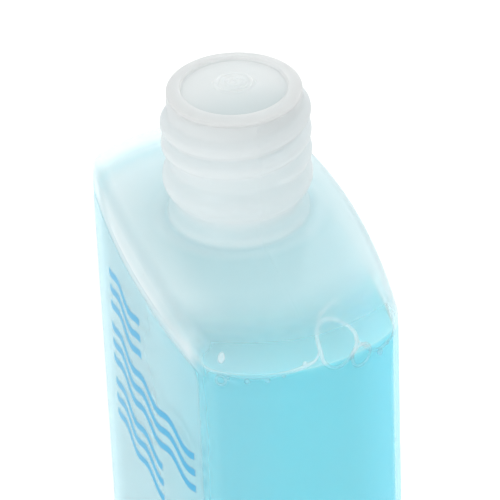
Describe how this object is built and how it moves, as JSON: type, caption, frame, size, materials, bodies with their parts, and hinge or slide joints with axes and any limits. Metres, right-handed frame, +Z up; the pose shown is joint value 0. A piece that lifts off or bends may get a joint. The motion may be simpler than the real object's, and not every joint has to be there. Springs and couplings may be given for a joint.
{
  "type": "bottle of liquid soap",
  "caption": "Flat translucent plastic bottle full of blue liquid soap, with crowned faces, domed shoulder, threaded neck, press-in sealing plug and clear front label.",
  "frame": {"origin": "middle of the base, on the surface the bottle stands on", "axes": "+Z up along the neck axis, +X across the wide face, -Y out of the labelled front face"},
  "size_m": [0.081, 0.0424, 0.2069],
  "materials": {
    "bottle_plastic": "satin",
    "soap_liquid": "gloss",
    "label_film": "satin",
    "plug_plastic": "satin"
  },
  "bodies": {
    "bottle": {"bottle": "bottle_plastic", "soap": "soap_liquid", "label": "label_film"},
    "plug": {"neck_plug": "plug_plastic"}
  },
  "joints": [
    {"name": "plug_pull", "type": "slide", "parent": "bottle", "child": "plug", "axis": [0, 0, 1], "range_m": [0, 0.02]}
  ]
}
